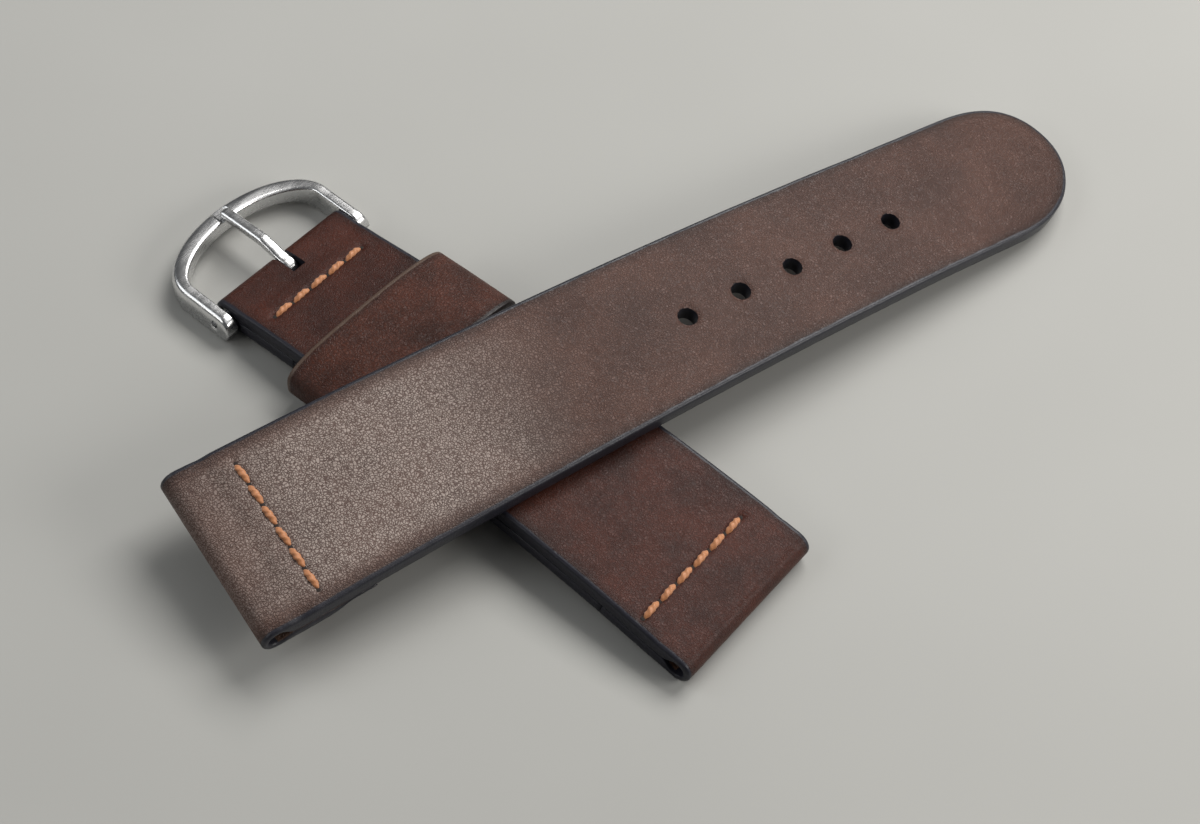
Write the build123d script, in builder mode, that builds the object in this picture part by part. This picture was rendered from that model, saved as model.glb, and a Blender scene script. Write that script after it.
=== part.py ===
# Leather watch strap: a buckle strap with a keeper and a steel tang buckle, and a
# punched tail strap that lies across it.
# Millimetres. The origin is the centre of the channel in the buckle strap's lug end,
# X runs along the buckle strap towards the buckle, Z is up.

import math
import os

from build123d import *

os.makedirs("parts", exist_ok=True)

# Lug ends, alike on both straps
lug_width = 22.0
bore_radius = 1.0
fold_wall = 0.8
lug_straight = 4.0
edge_round = 0.45
seam_gap = 0.08

# Buckle strap, two layers on a shallow arch
short_arch_radius = 280.0
short_length = 68.1
short_tilt_angle = 0.1826
short_end_width = 19.8
short_end_straight = 6.0
lug_flap_length = 10.4
end_flap_length = 11.0
tang_slot_gap = 0.2
tang_slot_back_gap = 0.5

# Tail strap, one layer on its own arch
tail_arch_radius = 560.0
tail_start_angle = 3.72
tail_thickness = 2.2
tail_width = 19.6
tail_straight_length = 13.2
tail_flap_full_length = 8.4
tail_flap_length = 12.0
tail_bore_x = 42.45
tail_bore_y = 34.7
tail_lift_height = 0.72
tail_turn_angle = -105.36
tail_bank_angle = 5.5
tail_length = 121.0
tip_far_length = 11.5
tip_near_length = 14.8
tip_crest_offset = 0.8
tip_far_shares = (0.304, 0.578)
tip_near_shares = (0.453, 0.338)
punch_radius = 1.2
punch_pitch = 7.9
punch_first_distance = 59.8
punch_offset = -0.6
punch_count = 5

# Stitching
thread_radius = 0.3
thread_gap = 0.06
thread_sink_depth = 0.12
stitch_pitch = 2.88
lug_row_run = 6.0
end_row_setback = 5.7
end_row_offset = 0.2
lug_stitches = 6
end_stitches = 5
short_row_offset = 1.0
tail_row_offset = -0.3

# Keeper band
keeper_length = 12.0
keeper_thickness = 1.1
keeper_setback = 18.9
keeper_side_gap = 0.9
keeper_top_gap = 0.15
keeper_under_gap = 0.3
keeper_edge_round = 0.3
keeper_round_share = 0.94
keeper_stitch_length = 2.6
keeper_stitch_width = 1.3
keeper_stitches = 3
keeper_thread_radius = 0.2

# Buckle frame
frame_side_gap = 0.25
frame_arm_width = 1.75
frame_back_length = 2.2
frame_arm_length = 5.0
frame_front_length = 12.0
frame_bar_width = 2.2
frame_height = 3.4
frame_nose_height = 1.0
frame_bevel = 0.5
tang_groove_depth = 0.4
tang_groove_gap = 0.15

# Tang
tang_width = 1.5
tang_thickness = 1.15
tang_ring_wall = 0.71
tang_bend_length = 3.7
tang_bend_height = 1.95
tang_tip_setback = 1.1
tang_rest_gap = 0.04

# Spring bar inside the buckle end
tube_radius = 0.9
tube_wall = 0.3
tube_end_gap = 0.55
tube_lip = 0.5
tube_lip_wall = 0.44
running_gap = 0.04
shank_length = 3.0
pin_radius = 0.4
pin_hole_gap = 0.06
pin_setback = 0.5
spring_wire = 0.11
spring_radius = 0.42
spring_turns = 14
spring_wire_sides = 8

nose_radius = bore_radius + fold_wall
table_height = -nose_radius
short_start_angle = math.degrees(short_length / short_arch_radius / 2) + short_tilt_angle
short_arch = (short_arch_radius, short_start_angle)
tail_arch = (tail_arch_radius, tail_start_angle)
tail_bore_height = 2 * nose_radius + tail_lift_height
tail_taper_length = tail_length - tip_near_length - tail_straight_length
end_row_run = short_length - end_row_setback
keeper_run = short_length - keeper_setback
keeper_inner_width = lug_width + 2 * keeper_side_gap
frame_inner_width = short_end_width + 2 * frame_side_gap
tang_ring_radius = tube_radius + running_gap + tang_ring_wall
tang_slot_width = tang_width + 2 * tang_slot_gap
tang_slot_length = tang_ring_radius + tang_slot_back_gap
tang_tip_length = frame_front_length - tang_tip_setback
tube_length = frame_inner_width - 2 * tube_end_gap
through = nose_radius * 4


# A point on an arch: run along its middle line from the channel, rise above that line.
def arch_point(arch, run, rise):
    radius, pitch = arch
    start = math.radians(pitch)
    angle = start - run / radius
    along = radius * math.sin(start) - (radius + rise) * math.sin(angle)
    up = (radius + rise) * math.cos(angle) - radius * math.cos(start)
    return (along, up)


def arch_heading(arch, run):
    radius, pitch = arch
    return pitch - math.degrees(run / radius)


# The side face of a layer, between two runs and two rises.
def arch_band(arch, start, end, low, high):
    middle = (start + end) / 2
    with BuildSketch() as band:
        with BuildLine():
            ThreePointArc(
                arch_point(arch, start, high), arch_point(arch, middle, high), arch_point(arch, end, high)
            )
            Line(arch_point(arch, end, high), arch_point(arch, end, low))
            ThreePointArc(
                arch_point(arch, end, low), arch_point(arch, middle, low), arch_point(arch, start, low)
            )
            Line(arch_point(arch, start, low), arch_point(arch, start, high))
        make_face()
    return band.sketch


# A plane across a strap at a run: its X is across the strap, its Z stands on the leather.
def cross_plane(arch, run):
    along, up = arch_point(arch, run, 0)
    lean = math.radians(arch_heading(arch, run))
    return Plane(origin=(along, 0, up), x_dir=(0, 1, 0), z_dir=(-math.sin(lean), 0, math.cos(lean)))


# Thread through a chain of holes, running above and below the leather between them
def stitch_chain(holes, reach, radius):
    with BuildPart() as chain:
        with Locations(*[(x, y, 0) for x, y in holes]):
            Cylinder(radius, 2 * reach)
        with Locations(*[(x, y, side * reach) for x, y in holes for side in (-1, 1)]):
            Sphere(radius)
        for (x0, y0), (x1, y1) in zip(holes, holes[1:]):
            for side in (-1, 1):
                middle = ((x0 + x1) / 2, (y0 + y1) / 2, side * reach)
                with Locations(Plane(origin=middle, z_dir=(x1 - x0, y1 - y0, 0))):
                    Cylinder(radius, math.hypot(x1 - x0, y1 - y0))
    return chain.part


# A straight row of stitches, and the holes and grooves in the leather that it lies in
def row_pair(arch, run, count, lean):
    place = Location(cross_plane(arch, run))
    first = lean - count * stitch_pitch / 2
    holes = [(first + index * stitch_pitch, 0) for index in range(count + 1)]
    reach = nose_radius - thread_sink_depth
    thread = stitch_chain(holes, reach, thread_radius)
    room = thread_radius + thread_gap
    depth = 2 * (nose_radius - reach + room)
    with BuildPart() as bed:
        with Locations((lean, 0, nose_radius), (lean, 0, -nose_radius)):
            Box(count * stitch_pitch + 2 * room, 2 * room, depth)
        with Locations(*[(x, y, 0) for x, y in holes]):
            Cylinder(room, 2 * nose_radius)
    return thread.moved(place), bed.part.moved(place)


def outline_sketch(points):
    with BuildSketch() as outline:
        with BuildLine():
            Polyline(*points, close=True)
        make_face()
    return outline.sketch


# A leather piece: a side outline drawn out across, trimmed to its plan, with its rim eased.
def leather_blank(side, plan, rounding):
    with BuildPart() as blank:
        with BuildSketch(Plane.XZ):
            add(side)
        extrude(amount=lug_width, both=True)
        with BuildSketch(Plane.XY.offset(-through)):
            add(plan)
        extrude(amount=2 * through, mode=Mode.INTERSECT)
        rim = []
        for edge in blank.edges():
            heading = edge % 0.5
            straight = edge.geom_type == GeomType.LINE
            if not (straight and max(abs(heading.Y), abs(heading.Z)) > 0.99):
                rim.append(edge)
        fillet(rim, rounding)
    return blank.part


def cut_across(part, sketches):
    with BuildPart() as trimmed:
        add(part)
        with BuildSketch(Plane.XZ):
            for sketch in sketches:
                add(sketch)
        extrude(amount=lug_width, both=True, mode=Mode.SUBTRACT)
    return trimmed.part


def channel(center):
    with BuildSketch() as bore:
        with Locations(center):
            Circle(bore_radius)
    return bore.sketch


bar_x, bar_z = arch_point(short_arch, short_length, 0)
bar_point = (bar_x, 0, bar_z)
bar_plane = Plane(origin=bar_point, x_dir=(1, 0, 0), z_dir=(0, -1, 0))
frame_below_axis = bar_z - table_height
short_lug_thread, short_lug_tunnel = row_pair(short_arch, lug_row_run, lug_stitches, short_row_offset)
short_end_thread, short_end_tunnel = row_pair(short_arch, end_row_run, end_stitches, end_row_offset)
tail_thread, tail_tunnel = row_pair(tail_arch, lug_row_run, lug_stitches, tail_row_offset)


# Buckle strap, both layers in one blank: outer leather with its folds, and the lining
lining_start = lug_flap_length
lining_end = short_length - end_flap_length


def build_short_blank():
    with BuildSketch() as side:
        add(arch_band(short_arch, 0, short_length, -nose_radius, nose_radius))
        with Locations((0, 0), (bar_x, bar_z)):
            Circle(nose_radius)
    end_x = bar_x + nose_radius
    half = lug_width / 2
    end_half = short_end_width / 2
    plan = [
        (-nose_radius, -half),
        (lug_straight, -half),
        (bar_x - short_end_straight, -end_half),
        (end_x, -end_half),
        (end_x, end_half),
        (bar_x - short_end_straight, end_half),
        (lug_straight, half),
        (-nose_radius, half),
    ]
    return leather_blank(side.sketch, outline_sketch(plan), edge_round)


def build_short_leather(blank):
    cuts = [
        arch_band(short_arch, lining_start, lining_end, -through, 0),
        arch_band(short_arch, 0, lining_start, -seam_gap, 0),
        arch_band(short_arch, lining_end, short_length, -seam_gap, 0),
        channel((0, 0)),
        channel((bar_x, bar_z)),
    ]
    with BuildPart() as leather:
        add(cut_across(blank, cuts))
        with Locations((bar_x - tang_slot_length + through / 2, 0, bar_z)):
            Box(through, tang_slot_width, through, mode=Mode.SUBTRACT)
        add(short_lug_tunnel, mode=Mode.SUBTRACT)
        add(short_end_tunnel, mode=Mode.SUBTRACT)
    return leather.part


def build_lining(blank):
    start = lining_start + seam_gap
    end = lining_end - seam_gap
    with BuildPart() as lining:
        add(blank)
        with BuildSketch(Plane.XZ):
            add(arch_band(short_arch, start, end, -through, -seam_gap))
        extrude(amount=lug_width, both=True, mode=Mode.INTERSECT)
    return lining.part


# Tail strap leather, built flat on its own bore and then laid across the buckle strap
def build_tail_leather():
    under = nose_radius - tail_thickness
    with BuildSketch() as wedge:
        with BuildLine():
            Polyline(
                arch_point(tail_arch, tail_flap_full_length, 0),
                arch_point(tail_arch, tail_flap_full_length, -nose_radius),
                arch_point(tail_arch, tail_flap_length, under),
                arch_point(tail_arch, tail_flap_length, 0),
                close=True,
            )
        make_face()
    with BuildSketch() as side:
        add(arch_band(tail_arch, 0, tail_length + through, under, nose_radius))
        add(arch_band(tail_arch, 0, tail_flap_full_length, -nose_radius, 0))
        add(wedge.sketch)
        Circle(nose_radius)
    half = lug_width / 2
    tail_half = tail_width / 2
    far_height = tail_half - tip_crest_offset
    near_height = tail_half + tip_crest_offset
    tip_far_curve = [
        (tail_length - tip_far_length, tail_half),
        (tail_length - tip_far_shares[0] * tip_far_length, tail_half),
        (tail_length, tip_crest_offset + tip_far_shares[1] * far_height),
        (tail_length, tip_crest_offset),
    ]
    tip_near_curve = [
        (tail_length, tip_crest_offset),
        (tail_length, tip_crest_offset - tip_near_shares[0] * near_height),
        (tail_length - tip_near_shares[1] * tip_near_length, -tail_half),
        (tail_length - tip_near_length, -tail_half),
    ]
    with BuildSketch() as plan:
        with BuildLine():
            Bezier(*tip_far_curve)
            Bezier(*tip_near_curve)
            Polyline(
                tip_near_curve[-1],
                (tail_taper_length, -tail_half),
                (lug_straight, -half),
                (-nose_radius, -half),
                (-nose_radius, half),
                (lug_straight, half),
                (tail_taper_length, tail_half),
                tip_far_curve[0],
            )
        make_face()
    punches = []
    for index in range(punch_count):
        run = punch_first_distance + index * punch_pitch
        along, up = arch_point(tail_arch, run, 0)
        punches.append(Location((along, punch_offset, up), (0, -arch_heading(tail_arch, run), 0)))
    blank = leather_blank(side.sketch, plan.sketch, edge_round)
    slit = arch_band(tail_arch, 0, tail_flap_length, under - seam_gap, under)
    with BuildPart() as leather:
        add(cut_across(blank, [channel((0, 0)), slit]))
        with Locations(*punches):
            Cylinder(punch_radius, through, mode=Mode.SUBTRACT)
        add(tail_tunnel, mode=Mode.SUBTRACT)
    return leather.part


# Keeper band and the zigzag seam that closes it underneath
keeper_plane_x, keeper_plane_z = arch_point(short_arch, keeper_run, 0)
keeper_lean = math.radians(arch_heading(short_arch, keeper_run))
keeper_plane = Plane(
    origin=(keeper_plane_x, 0, keeper_plane_z),
    x_dir=(0, 1, 0),
    z_dir=(math.cos(keeper_lean), 0, math.sin(keeper_lean)),
)
keeper_inner_height = 2 * nose_radius + keeper_top_gap + keeper_under_gap
keeper_shift = (keeper_top_gap - keeper_under_gap) / 2
keeper_under = keeper_shift - keeper_inner_height / 2 - keeper_thickness / 2


def keeper_chain(radius):
    holes = []
    for index in range(keeper_stitches + 1):
        side = -1 if index % 2 else 1
        along = (index - keeper_stitches / 2) * keeper_stitch_length
        holes.append((along, side * keeper_stitch_width))
    chain = stitch_chain(holes, keeper_thickness / 2 - keeper_thread_radius, radius)
    lean = Plane(
        origin=keeper_plane.from_local_coords((0, keeper_under, 0)),
        x_dir=keeper_plane.z_dir,
        z_dir=keeper_plane.y_dir,
    )
    return chain.moved(Location(lean))


def build_keeper():
    outer_height = keeper_inner_height + 2 * keeper_thickness
    outer_width = keeper_inner_width + 2 * keeper_thickness
    with BuildPart() as keeper:
        with BuildSketch(keeper_plane):
            with Locations((0, keeper_shift)):
                RectangleRounded(outer_width, outer_height, keeper_round_share * outer_height / 2)
                RectangleRounded(
                    keeper_inner_width,
                    keeper_inner_height,
                    keeper_round_share * keeper_inner_height / 2,
                    mode=Mode.SUBTRACT,
                )
        extrude(amount=keeper_length / 2, both=True)
        ends = keeper.faces().sort_by(Axis.X)
        rims = [edge for face in (ends[0], ends[-1]) for edge in face.outer_wire().edges()]
        fillet(rims, keeper_edge_round)
        add(keeper_chain(keeper_thread_radius + thread_gap), mode=Mode.SUBTRACT)
        with BuildSketch(keeper_plane):
            with Locations((0, keeper_under)):
                Rectangle(seam_gap, 2 * keeper_thickness)
        extrude(amount=keeper_length, both=True, mode=Mode.SUBTRACT)
    return keeper.part


# Buckle frame: tall arms and a curved front bar, raised a little off the table
def build_frame():
    outer_width = frame_inner_width + 2 * frame_arm_width
    arch_depth = frame_front_length - frame_arm_length
    floor = bar_z - frame_below_axis
    back = frame_arm_length + frame_back_length
    with BuildSketch() as plan:
        with Locations((bar_x + frame_arm_length - back / 2, 0)):
            Rectangle(back, outer_width)
        with Locations((bar_x + frame_arm_length, 0)):
            Ellipse(arch_depth, outer_width / 2)
            Ellipse(arch_depth - frame_bar_width, frame_inner_width / 2, mode=Mode.SUBTRACT)
        with Locations((bar_x + frame_arm_length - back, 0)):
            Rectangle(2 * back, frame_inner_width, mode=Mode.SUBTRACT)
    end_round = frame_height / 2
    axis_low = -frame_below_axis
    axis_high = frame_height - frame_below_axis
    with BuildSketch() as side:
        with Locations((end_round - frame_back_length, (axis_low + axis_high) / 2)):
            Circle(end_round)
        add(
            outline_sketch(
                [
                    (end_round - frame_back_length, axis_low),
                    (frame_arm_length, axis_low),
                    (frame_front_length, axis_low + frame_nose_height),
                    (frame_front_length, axis_high),
                    (end_round - frame_back_length, axis_high),
                ]
            )
        )
    with BuildPart() as frame:
        with BuildSketch(Plane.XY.offset(floor)):
            add(plan.sketch)
        extrude(amount=frame_height)
        chamfer(frame.faces().sort_by(Axis.Z)[-1].edges(), frame_bevel)
        with BuildSketch(bar_plane):
            add(side.sketch)
        extrude(amount=outer_width, both=True, mode=Mode.INTERSECT)
        with Locations(Location(bar_point, (90, 0, 0))):
            Cylinder(pin_radius + pin_hole_gap, 2 * outer_width, mode=Mode.SUBTRACT)
        groove_width = tang_width + 2 * tang_groove_gap
        groove_length = 2 * frame_front_length - tang_bend_length
        with Locations((bar_x + frame_front_length, 0, bar_z + axis_high)):
            Box(groove_length, groove_width, 2 * tang_groove_depth, mode=Mode.SUBTRACT)
    return frame.part


# Tang: a ring round the spring bar and a bent arm that rests on the front bar
def build_tang():
    tip_rise = frame_height - frame_below_axis - tang_groove_depth + tang_rest_gap + tang_thickness / 2
    bend = (tang_bend_length, tang_bend_height)
    tip = (tang_tip_length, tip_rise)
    root = (0, tang_ring_radius - tang_thickness / 2)
    with BuildSketch() as side:
        Circle(tang_ring_radius)
        for (x0, y0), (x1, y1) in ((root, bend), (bend, tip)):
            turn = math.degrees(math.atan2(y1 - y0, x1 - x0))
            with Locations(Location(((x0 + x1) / 2, (y0 + y1) / 2, 0), (0, 0, turn))):
                SlotCenterToCenter(math.hypot(x1 - x0, y1 - y0), tang_thickness)
        Circle(tube_radius + running_gap, mode=Mode.SUBTRACT)
    with BuildPart() as tang:
        with BuildSketch(bar_plane):
            add(side.sketch)
        extrude(amount=tang_width / 2, both=True)
    return tang.part


# Spring bar tube: drawn in at both mouths, so the tips stay in
def build_tube():
    with BuildPart() as tube:
        with Locations(Location(bar_point, (90, 0, 0))):
            Cylinder(tube_radius, tube_length)
            Cylinder(tube_radius - tube_wall, tube_length - 2 * tube_lip, mode=Mode.SUBTRACT)
            Cylinder(tube_radius - tube_lip_wall, tube_length, mode=Mode.SUBTRACT)
    return tube.part


# Spring bar tip: a shank in the tube and a pin that ends inside the arm
def build_tip(side):
    shank_end = tube_length / 2 - tube_lip - running_gap
    pin_end = frame_inner_width / 2 + frame_arm_width - pin_setback
    shank_middle = shank_end - shank_length / 2
    pin_middle = (shank_end + pin_end) / 2
    with BuildPart() as tip:
        with Locations(Location((bar_x, side * shank_middle, bar_z), (90, 0, 0))):
            Cylinder(tube_radius - tube_wall - running_gap, shank_length)
        with Locations(Location((bar_x, side * pin_middle, bar_z), (90, 0, 0))):
            Cylinder(pin_radius, pin_end - shank_end)
    return tip.part


# Spring between the two tips
def build_spring():
    reach = tube_length / 2 - tube_lip - 2 * running_gap - shank_length - spring_wire
    start = (bar_x, -reach, bar_z)
    with BuildPart() as spring:
        with BuildLine() as coil:
            Helix(2 * reach / spring_turns, 2 * reach, spring_radius, center=start, direction=(0, 1, 0))
        with BuildSketch(Plane(origin=coil.line @ 0, z_dir=coil.line % 0)):
            RegularPolygon(spring_wire, spring_wire_sides)
        sweep()
    return spring.part


turn = math.radians(tail_turn_angle)
bank = math.radians(tail_bank_angle)
tail_plane = Plane(
    origin=(tail_bore_x, tail_bore_y, tail_bore_height),
    x_dir=(math.cos(turn), math.sin(turn), 0),
    z_dir=(math.sin(bank) * math.sin(turn), -math.sin(bank) * math.cos(turn), math.cos(bank)),
)
tail_place = Location(tail_plane)

short_blank = build_short_blank()

nodes = {
    "buckle_strap_leather": build_short_leather(short_blank),
    "buckle_strap_lining": build_lining(short_blank),
    "buckle_strap_lug_thread": short_lug_thread,
    "buckle_strap_end_thread": short_end_thread,
    "tail_strap_leather": build_tail_leather().moved(tail_place),
    "tail_strap_lug_thread": tail_thread.moved(tail_place),
    "keeper_band": build_keeper(),
    "keeper_thread": keeper_chain(keeper_thread_radius),
    "buckle_frame": build_frame(),
    "buckle_tang": build_tang(),
    "spring_bar_tube": build_tube(),
    "spring_bar_tip_near": build_tip(1),
    "spring_bar_tip_far": build_tip(-1),
    "spring_bar_spring": build_spring(),
}

for name, shape in nodes.items():
    shape.label = name
    export_step(shape, f"parts/{name}.step")
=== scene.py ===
import math

import bmesh
import bpy
from mathutils import Matrix, Vector, noise


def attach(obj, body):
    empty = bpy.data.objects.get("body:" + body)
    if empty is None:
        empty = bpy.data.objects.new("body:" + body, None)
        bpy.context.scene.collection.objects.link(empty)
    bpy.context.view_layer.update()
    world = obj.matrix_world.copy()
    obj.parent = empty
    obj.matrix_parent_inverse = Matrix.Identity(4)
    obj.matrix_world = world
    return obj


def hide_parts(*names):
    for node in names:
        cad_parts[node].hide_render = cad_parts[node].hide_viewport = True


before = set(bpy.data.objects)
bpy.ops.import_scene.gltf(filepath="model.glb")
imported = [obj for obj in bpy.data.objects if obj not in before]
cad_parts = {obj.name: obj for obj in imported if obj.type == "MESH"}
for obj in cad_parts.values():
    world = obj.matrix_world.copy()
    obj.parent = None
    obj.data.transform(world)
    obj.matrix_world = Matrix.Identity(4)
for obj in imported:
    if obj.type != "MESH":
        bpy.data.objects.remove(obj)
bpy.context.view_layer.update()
mm = 0.001
tiny = 1e-9

# An arch is (radius in millimetres, pitch at the lug end in degrees)
shortArch = (280.0, 7.15)
tailArch = (560.0, 3.72)
shortLength = 68.1
noseRadius = 1.8
tailPlace = {"origin": (42.45, 34.7, 4.32), "turn": -105.36, "bank": 5.5}


def archPoint(arch, run, rise):
    radius, pitch = arch
    start = math.radians(pitch)
    angle = start - run / radius
    along = radius * math.sin(start) - (radius + rise) * math.sin(angle)
    up = (radius + rise) * math.cos(angle) - radius * math.cos(start)
    return along, up


def archFrame(arch, run, across, rise):
    radius, pitch = arch
    lean = math.radians(pitch) - run / radius
    along, up = archPoint(arch, run, rise)
    matrix = Matrix.Rotation(-lean, 4, "Y")
    matrix.translation = Vector((along, across, up))
    return matrix


def tailMatrix():
    turn = math.radians(tailPlace["turn"])
    bank = math.radians(tailPlace["bank"])
    along = Vector((math.cos(turn), math.sin(turn), 0))
    level = Vector((math.sin(turn), -math.cos(turn), 0))
    up = level * math.sin(bank) + Vector((0, 0, math.cos(bank)))
    matrix = Matrix((along, up.cross(along), up)).transposed().to_4x4()
    matrix.translation = Vector(tailPlace["origin"])
    return matrix


def smoothStep(low, high, value):
    t = min(max((value - low) / (high - low), 0.0), 1.0)
    return t * t * (3 - 2 * t)


# A path in a strap's side plane: points, and the outward normal at each
class SidePath:
    def __init__(self, points):
        self.points = points
        self.lengths = [0.0]
        for a, b in zip(points, points[1:]):
            self.lengths.append(self.lengths[-1] + math.dist(a, b))
        self.total = self.lengths[-1]

    def at(self, length):
        length = min(max(length, 0.0), self.total)
        low, high = 0, len(self.lengths) - 1
        while high - low > 1:
            middle = (low + high) // 2
            if self.lengths[middle] <= length:
                low = middle
            else:
                high = middle
        span = max(self.lengths[high] - self.lengths[low], tiny)
        share = (length - self.lengths[low]) / span
        a, b = self.points[low], self.points[high]
        before = self.points[max(low - 1, 0)]
        after = self.points[min(high + 1, len(self.points) - 1)]
        point = (a[0] + (b[0] - a[0]) * share, a[1] + (b[1] - a[1]) * share)
        startWay = (b[0] - before[0], b[1] - before[1])
        endWay = (after[0] - a[0], after[1] - a[1])
        startLength = max(math.hypot(*startWay), tiny)
        endLength = max(math.hypot(*endWay), tiny)
        way = tuple(
            startWay[k] / startLength * (1 - share) + endWay[k] / endLength * share
            for k in (0, 1)
        )
        scale = max(math.hypot(*way), tiny)
        return point, (-way[1] / scale, way[0] / scale)


def archRun(arch, start, end, rise, step=0.5):
    count = max(int(abs(end - start) / step), 2)
    return [archPoint(arch, start + (end - start) * i / count, rise) for i in range(count + 1)]


def noseRun(center, heading, fromDegrees, toDegrees, count=24):
    step = (toDegrees - fromDegrees) / count
    angles = [math.radians(heading + fromDegrees + step * i) for i in range(count + 1)]
    x, z = center
    return [(x + noseRadius * math.cos(a), z + noseRadius * math.sin(a)) for a in angles]


# The side of a strap: flap, fold, top, and a second fold and flap where the end is closed
def foldPath(arch, flap, length, endFlap=0):
    radius, pitch = arch
    points = archRun(arch, flap, 0, -noseRadius)
    points += noseRun((0, 0), pitch, 270, 90)[1:]
    points += archRun(arch, 0, length, noseRadius)[1:]
    if endFlap:
        endPitch = pitch - math.degrees(length / radius)
        points += noseRun(archPoint(arch, length, 0), endPitch, 90, -90)[1:]
        points += archRun(arch, length, length - endFlap, -noseRadius)[1:]
    return SidePath(points)


slabSettings = {
    "rimSteps": (0.0, 0.07, 0.17, 0.3, 0.45, 0.7, 1.05),
    "shortRowShare": 0.4,
    "flatScale": 0.1,
    "edgeLimit": 4.0,
}


# Rows of a slab, finer near the given spots, each (place, reach)
def spacing(total, step, fineSpots, fineStep):
    values = [0.0]
    while values[-1] < total - tiny:
        here = values[-1]
        near = min((abs(here - spot) - reach for spot, reach in fineSpots), default=math.inf)
        size = fineStep if near <= 0 else min(step, max(fineStep, near))
        values.append(min(here + size, total))
    if values[-1] - values[-2] < fineStep * slabSettings["shortRowShare"]:
        values.pop(-2)
    return values


# Columns of a slab as shares of its half width, finer at both rims
def acrossShares(halfWidth, step):
    rimSteps = slabSettings["rimSteps"]
    inner = halfWidth - rimSteps[-1]
    count = int(2 * inner / step)
    middle = [-inner + 2 * inner * i / count for i in range(1, count)]
    left = [-halfWidth + distance for distance in rimSteps]
    right = [halfWidth - distance for distance in reversed(rimSteps)]
    return [value / halfWidth for value in left + middle + right]


def makeObject(name, bm):
    mesh = bpy.data.meshes.new(name)
    bm.to_mesh(mesh)
    bm.free()
    mesh.transform(Matrix.Scale(mm, 4))
    obj = bpy.data.objects.new(name, mesh)
    bpy.context.scene.collection.objects.link(obj)
    return obj


# The item of a list that a vertex of a fresh grid, from -1 to 1, stands for
def gridItem(items, coordinate):
    return items[round((coordinate + 1) / 2 * (len(items) - 1))]


# A slab of leather: a grid made thick, its vertices then laid along a path.
# place(u, share, w) gives the point and marks the values for the shader; w is 1 inside.
def leatherSlab(name, rows, columns, place, marks):
    bm = bmesh.new()
    bmesh.ops.create_grid(bm, x_segments=len(rows) - 1, y_segments=len(columns) - 1, size=1)
    bmesh.ops.solidify(bm, geom=bm.faces[:], thickness=1)
    edgeLayer, fleshLayer, flatU, flatV = (
        bm.verts.layers.float.new(layer) for layer in ("edgeDist", "flesh", "flatU", "flatV")
    )
    middleZ = sum(v.co.z for v in bm.verts) / len(bm.verts)
    for v in bm.verts:
        u = gridItem(rows, v.co.x)
        share = gridItem(columns, v.co.y)
        w = 1 if v.co.z < middleZ else 0
        v.co, flatAcross = place(u, share, w)
        edge, v[fleshLayer] = marks(u, share, w)
        v[edgeLayer] = min(edge, slabSettings["edgeLimit"])
        v[flatU] = u * slabSettings["flatScale"]
        v[flatV] = flatAcross * slabSettings["flatScale"]
    uv = bm.loops.layers.uv.new("flat")
    for face in bm.faces:
        for loop in face.loops:
            loop[uv].uv = (loop.vert[flatU], loop.vert[flatV])
        face.smooth = True
    bmesh.ops.recalc_face_normals(bm, faces=bm.faces[:])
    if bm.calc_volume(signed=True) < 0:
        bmesh.ops.reverse_faces(bm, faces=bm.faces[:])
    return makeObject(name, bm)


# How far the rounded rim drops at a distance from the edge
def rimDrop(distance, radius):
    if distance >= radius:
        return 0.0
    return radius - math.sqrt(max(radius * radius - (radius - distance) ** 2, 0.0))


# The shallow valley between the fold over the bar and the stitching
def foldValley(run, middle, depth, width=0.9):
    return depth * math.exp(-((run - middle) / width) ** 2)


# Soft unevenness: each bump is (height, scale, seed)
def softNoise(point, *bumps, seedShare=0.37):
    total = 0.0
    for height, scale, seed in bumps:
        spot = (point[0] * scale + seed, point[1] * scale - seed, seed * seedShare)
        total += height * noise.noise(Vector(spot))
    return total


def taperHalf(settings, run):
    start, end = settings["taper"]
    share = min(max((run - start) / (end - start), 0), 1)
    return settings["lugHalf"] + (settings["half"] - settings["lugHalf"]) * share


stitchSettings = {
    "pitch": 2.88,
    "radius": 0.38,
    "lengthShare": 1.02,
    "segments": (20, 36),
    "endShare": 0.16,
    "taperPowers": (2.4, 0.7),
    "strands": 2,
    "twist": 5.6,
    "twistDepth": 0.13,
    "flatness": 0.85,
    "endSink": 0.5,
    "seat": 0.02,
    "holeSeat": 0.3,
    "holeSize": (0.34, 0.34, 0.12, 1),
    "holeSegments": (16, 8),
    "groove": (0.16, 0.5),
    "grooveFade": 0.8,
    "dent": (0.22, 0.34),
    "dipReach": 2,
}


# How far the leather dips along a row of stitches, a row being (run, lean, count)
def stitchDip(run, across, row):
    s = stitchSettings
    rowRun, lean, count = row
    half = count * s["pitch"] / 2
    offset = across - lean
    if abs(run - rowRun) > s["dipReach"]:
        return 0.0
    depth, width = s["groove"]
    fade = smoothStep(half + s["grooveFade"], half, abs(offset))
    groove = depth * math.exp(-((run - rowRun) / width) ** 2) * fade
    nearest = min(abs(offset - (i * s["pitch"] - half)) for i in range(count + 1))
    depth, width = s["dent"]
    return groove + depth * math.exp(-(((run - rowRun) / width) ** 2 + (nearest / width) ** 2))


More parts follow.
